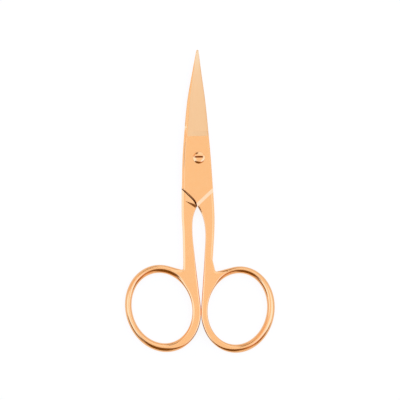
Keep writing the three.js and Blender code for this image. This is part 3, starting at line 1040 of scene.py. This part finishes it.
def metal(name, roughness):
    """Plated steel: polished edges, satin flats, a brushed ground blade and painted shade in
    corners.
    """
    material, tree, shader = new_material(name)
    place = add(tree, "ShaderNodeTexCoord")["Object"]
    mottle, fine, brush = [
        grain(tree, place, grains) for grains in (MOTTLE_GRAINS, FINE_GRAINS, BRUSH_GRAINS)
    ]
    ground, satin, painted_shade = [
        add(tree, "ShaderNodeAttribute", attribute_name=share)["Fac"]
        for share in ("ground", "satin", "painted_shade")
    ]

    plating = blend_colour(tree, mottle, PLATING_DEEP, PLATING_PALE)
    brushed = blend_colour(tree, brush, BRUSHED_DEEP, BRUSHED_PALE)
    colour = blend_colour(tree, ground, plating, brushed)
    # Painted shade: dark brown, rough and not metallic on the faces marked with it
    colour = blend_colour(tree, painted_shade, colour, PAINTED_SHADE_COLOUR)

    rough = spread(tree, fine, *roughness)
    rough = blend(tree, satin, rough, spread(tree, mottle, *SATIN_ROUGHNESS))
    rough = blend(tree, ground, rough, spread(tree, brush, *BRUSHED_ROUGHNESS))
    rough = blend(tree, painted_shade, rough, PAINTED_SHADE_ROUGHNESS)

    height = blend(tree, ground, fine, brush)
    bump = add(tree, "ShaderNodeBump", {"Height": height, "Distance": BUMP_DEPTH, "Strength": 1})
    feed(tree, shader, {
        "Base Color": colour,
        "Roughness": rough,
        "Metallic": blend(tree, painted_shade, 1, 0),
        "Specular IOR Level": 0,
        "Normal": bump["Normal"],
    })
    return material


# Stage, light and camera

# The paper, in metres: half its side, and how far it lies below the scissors
PAPER_HALF = 3
PAPER_DROP = 5e-5

# A grey that takes the shadow, and a glow that makes it white where it is seen and a little
# less than white where it is mirrored
PAPER_COLOUR = (0.14, 0.14, 0.14, 1)
PAPER_GLOW = 0.89
MIRRORED_PAPER = 0.88

# The paper between the rings, where little light comes to be mirrored: the middle of the shade,
# how far it reaches, and the share of that reach from which it fades
SHADE_CENTRE = (0, -50.5)
SHADE_REACH = (4.5, 8)
SHADE_CORE = 0.5

# What the metal mirrors, each laid over the one before: azimuth from +X towards +Y, elevation,
# half width of its even middle, half width where it has faded out, and its colour. The softboxes
# are bluer than white, so that the plating looks white in them.
DARK = (0.2, 0.1, 0.012, 1)
CARDS = {
    "left softbox": (190, 46, 24, 37, (1.08, 1.45, 2.1, 1)),
    "right softbox": (-8, 37, 21, 29, (1.1, 1.5, 2.2, 1)),
    "far softbox": (76, 48, 18, 36, (1.06, 1.22, 1.5, 1)),
    "copper card": (148, 36, 10, 24, (0.9, 0.62, 0.45, 1)),
    "amber card": (298, 37, 18, 27, (0.6, 0.3, 0.12, 1)),
    "small softbox": (322, 57, 8, 18, (1.15, 1.5, 2.4, 1)),
    "dark card": (255, 40, 22, 29, DARK),
    "low dark card": (254, 18, 16, 24, DARK),
    "left dark card": (212, 10, 15, 22, DARK),
    "right dark card": (322, 8, 13, 20, (0.28, 0.14, 0.04, 1)),
    "far dark card": (103, 4, 10, 15, DARK),
    "small dark card": (114, 47, 8, 15, DARK),
}
HORIZON = (0.75, 0.7, 0.65, 1)
HORIZON_FADE = (2, 16)

# The camera looks straight down: what its picture is centred on, how wide the picture is,
# how far it is turned and how high it hangs
VIEW_CENTRE = (0.149, -12.57)
VIEW_WIDTH = 118.9
VIEW_TURN_DEGREES = 0.81
CAMERA_HEIGHT = 1200
SENSOR_WIDTH = 36
CLIP_END = 10


def shade(tree):
    """How much of the paper's light is left to mirror, from 0 in the deepest shade."""
    from_centre = add(tree, "ShaderNodeMapping", {
        "Vector": add(tree, "ShaderNodeTexCoord")["Object"],
        "Location": [-centre / reach for centre, reach in zip(SHADE_CENTRE, SHADE_REACH)] + [0],
        "Scale": [1 / (reach * MM) for reach in SHADE_REACH] + [0],
    })["Vector"]
    distance = add(tree, "ShaderNodeVectorMath", {0: from_centre}, operation="LENGTH")["Value"]
    return fade(tree, distance, SHADE_CORE, 1)


def floor():
    corners = ((-1, -1), (1, -1), (1, 1), (-1, 1))
    points = [(x * PAPER_HALF, y * PAPER_HALF, -PAPER_DROP) for x, y in corners]
    made = new_object("floor", points, [(0, 1, 2, 3)])
    material, tree, shader = new_material("white paper")
    path = add(tree, "ShaderNodeLightPath")
    mirrored = reckon(tree, "MULTIPLY", path["Is Glossy Ray"], MIRRORED_PAPER)
    mirrored = reckon(tree, "MULTIPLY", mirrored, shade(tree))
    seen = reckon(tree, "MAXIMUM", path["Is Camera Ray"], mirrored)
    seen = reckon(tree, "MAXIMUM", seen, path["Is Transmission Ray"])
    feed(tree, shader, {
        "Base Color": PAPER_COLOUR,
        "Roughness": 1,
        "Specular IOR Level": 0,
        "Emission Color": WHITE,
        "Emission Strength": reckon(tree, "MULTIPLY", seen, PAPER_GLOW),
    })
    made.data.materials.append(material)


def direction(azimuth, elevation):
    a, e = math.radians(azimuth), math.radians(elevation)
    return math.cos(a) * math.cos(e), math.sin(a) * math.cos(e), math.sin(e)


def facing(tree, place, towards, inner, outer):
    """1 within the inner angle of a direction, fading to 0 at the outer angle."""
    dot = add(tree, "ShaderNodeVectorMath", {0: place, 1: towards}, operation="DOT_PRODUCT")
    start, end = [math.cos(math.radians(angle)) for angle in (outer, inner)]
    return fade(tree, dot["Value"], start, end)


def studio():
    """A world of cards and softboxes for the metal, and plain white for the camera."""
    world = bpy.data.worlds.new("studio")
    bpy.context.scene.world = world
    world.use_nodes = True
    tree = world.node_tree
    tree.nodes.clear()
    place = add(tree, "ShaderNodeTexCoord")["Generated"]
    low, high = [90 - degrees for degrees in reversed(HORIZON_FADE)]
    light = blend_colour(tree, facing(tree, place, (0, 0, 1), low, high), HORIZON, WHITE)
    for azimuth, elevation, inner, outer, colour in CARDS.values():
        share = facing(tree, place, direction(azimuth, elevation), inner, outer)
        light = blend_colour(tree, share, light, colour)
    lit = add(tree, "ShaderNodeBackground", {"Color": light})[0]
    seen = add(tree, "ShaderNodeBackground", {"Color": WHITE})[0]
    is_camera = add(tree, "ShaderNodeLightPath")["Is Camera Ray"]
    surface = add(tree, "ShaderNodeMixShader", {0: is_camera, 1: lit, 2: seen})[0]
    add(tree, "ShaderNodeOutputWorld", {"Surface": surface})


def camera():
    data = bpy.data.cameras.new("camera")
    made = bpy.data.objects.new("camera", data)
    bpy.context.scene.collection.objects.link(made)
    data.sensor_width = SENSOR_WIDTH
    data.lens = SENSOR_WIDTH * CAMERA_HEIGHT / VIEW_WIDTH
    data.clip_end = CLIP_END
    made.location = Vector((*VIEW_CENTRE, STACK_HALF + CAMERA_HEIGHT)) * MM
    made.rotation_euler = (0, 0, -math.radians(VIEW_TURN_DEGREES))
    bpy.context.scene.camera = made


camera()
floor()
studio()

plated = metal("plated metal", PLATED_ROUGHNESS)
screw_metal = metal("screw metal", SCREW_ROUGHNESS)

front = half_piece("front_half_forging", FRONT, REAR, NECK_RADIUS + NECK_CLEARANCE, False)
rear = half_piece("rear_half_forging", REAR, FRONT, THREAD_RADIUS + THREAD_CLEARANCE, True)
screw = screw_piece()
for piece, body, node, slot, material in (
    (front, "front", "front_half", "front_half_metal", plated),
    (rear, "rear", "rear_half", "rear_half_metal", plated),
    (screw, "rear", "pivot_screw", "screw_metal", screw_metal),
):
    piece.data.materials.clear()
    piece.data.materials.append(material)
    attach(piece, body)
    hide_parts(node)

bpy.context.scene.view_settings.view_transform = "Standard"
